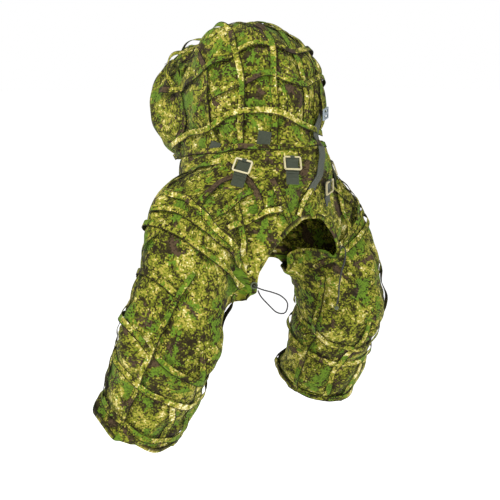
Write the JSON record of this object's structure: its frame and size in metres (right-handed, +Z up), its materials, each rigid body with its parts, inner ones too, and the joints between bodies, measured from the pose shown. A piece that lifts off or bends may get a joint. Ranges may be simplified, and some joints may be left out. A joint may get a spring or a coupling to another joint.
{
  "type": "ghillie suit",
  "caption": "Camouflage ghillie hood on a short open-backed yoke with two full sleeves, strip garnish nets, webbing tabs with ring buckles, chest buckles and elastic cords.",
  "frame": {"origin": "on the wearer's centre line at the base of the neck, level with the shoulders' tops", "axes": "+Z up along the wearer's spine, -Y the way the wearer faces, +X the wearer's left"},
  "size_m": [0.7063, 0.4258, 0.8844],
  "materials": {
    "camouflage_cloth": "matt rip-stop cloth with a pixel camouflage print",
    "garnish": "matt strips of the same printed cloth, cut and sewn across the panels",
    "binding": "matt folded cloth tape",
    "webbing": "ribbed dark green woven webbing",
    "tan_plastic": "matt moulded plastic",
    "green_plastic": "matt moulded plastic",
    "grey_plastic": "satin moulded plastic",
    "elastic": "black braided elastic cord"
  },
  "bodies": {
    "yoke": {"yoke_back_panel": "camouflage_cloth", "yoke_left_front_panel": "camouflage_cloth", "yoke_right_front_panel": "camouflage_cloth", "back_arch_binding": "binding", "left_front_hem": "binding", "right_front_hem": "binding", "front_placket": "garnish", "yoke_back_garnish_net": "garnish", "left_front_garnish_net": "garnish", "right_front_garnish_net": "garnish", "ring_tab_1": "webbing", "ring_tab_2": "webbing", "ring_tab_3": "webbing", "ring_tab_4": "webbing", "upper_buckle_socket": "green_plastic", "upper_webbing_left": "webbing", "upper_webbing_right": "webbing", "lower_buckle_socket": "green_plastic", "lower_webbing_left": "webbing", "lower_webbing_right": "webbing", "hood_strap_tail": "webbing", "left_hem_eyelet": "green_plastic", "left_arch_cord": "elastic", "right_hem_eyelet": "green_plastic", "right_arch_cord": "elastic", "right_cord_bead": "green_plastic"},
    "hood": {"hood_left_panel": "camouflage_cloth", "hood_right_panel": "camouflage_cloth", "hood_crown_panel": "camouflage_cloth", "hood_chin_panel": "camouflage_cloth", "hood_face_binding": "binding", "hood_garnish_net": "garnish", "hood_strap": "webbing", "hood_tab_back": "webbing", "hood_tab_left": "webbing", "hood_side_slider": "grey_plastic"},
    "left_sleeve": {"left_sleeve_upper": "camouflage_cloth", "left_upper_garnish_net": "garnish"},
    "left_forearm": {"left_sleeve_lower": "camouflage_cloth", "left_lower_garnish_net": "garnish", "left_cuff_binding": "binding"},
    "right_sleeve": {"right_sleeve_upper": "camouflage_cloth", "right_upper_garnish_net": "garnish"},
    "right_forearm": {"right_sleeve_lower": "camouflage_cloth", "right_lower_garnish_net": "garnish", "right_cuff_binding": "binding"},
    "ring_1": {"ring_buckle_1": "tan_plastic"},
    "ring_2": {"ring_buckle_2": "tan_plastic"},
    "ring_3": {"ring_buckle_3": "tan_plastic"},
    "ring_4": {"ring_buckle_4": "tan_plastic"},
    "upper_buckle": {"upper_buckle_prongs": "green_plastic"},
    "lower_buckle": {"lower_buckle_prongs": "green_plastic"}
  },
  "joints": [
    {"name": "hood_tip", "type": "hinge", "parent": "yoke", "child": "hood", "pos_m": [0, 0.152, 0.0375], "axis": [-1, 0, 0], "range_deg": [0, 80]},
    {"name": "left_sleeve_raise", "type": "hinge", "parent": "yoke", "child": "left_sleeve", "pos_m": [0.185, 0.012, -0.112], "axis": [0, -1, 0], "range_deg": [-3, 45]},
    {"name": "right_sleeve_raise", "type": "hinge", "parent": "yoke", "child": "right_sleeve", "pos_m": [-0.17, 0.012, -0.112], "axis": [0, 1, 0], "range_deg": [-3, 45]},
    {"name": "left_elbow_bend", "type": "hinge", "parent": "left_sleeve", "child": "left_forearm", "pos_m": [0.262, 0.035, -0.335], "axis": [-0.9194, 0.2658, -0.29], "range_deg": [-20, 40]},
    {"name": "right_elbow_bend", "type": "hinge", "parent": "right_sleeve", "child": "right_forearm", "pos_m": [-0.21, 0.035, -0.335], "axis": [-0.974, -0.1624, 0.158], "range_deg": [-20, 40]},
    {"name": "ring_1_swing", "type": "hinge", "parent": "yoke", "child": "ring_1", "pos_m": [0.12229, 0.07995, 0.01537], "axis": [0.4739, -0.8534, 0.2171], "range_deg": [0, 80]},
    {"name": "ring_2_swing", "type": "hinge", "parent": "yoke", "child": "ring_2", "pos_m": [0.04497, 0.13718, 0.0207], "axis": [0.9287, -0.3653, 0.0643], "range_deg": [0, 80]},
    {"name": "ring_3_swing", "type": "hinge", "parent": "yoke", "child": "ring_3", "pos_m": [-0.07324, 0.13017, -0.03679], "axis": [0.9165, 0.3606, -0.1733], "range_deg": [0, 80]},
    {"name": "ring_4_swing", "type": "hinge", "parent": "yoke", "child": "ring_4", "pos_m": [-0.13327, 0.07858, -0.00359], "axis": [0.531, 0.8249, -0.1937], "range_deg": [0, 80]},
    {"name": "upper_buckle_release", "type": "slide", "parent": "yoke", "child": "upper_buckle", "axis": [-1, 0, 0], "range_m": [0, 0.018]},
    {"name": "lower_buckle_release", "type": "slide", "parent": "yoke", "child": "lower_buckle", "axis": [-1, 0, 0], "range_m": [0, 0.018]}
  ]
}
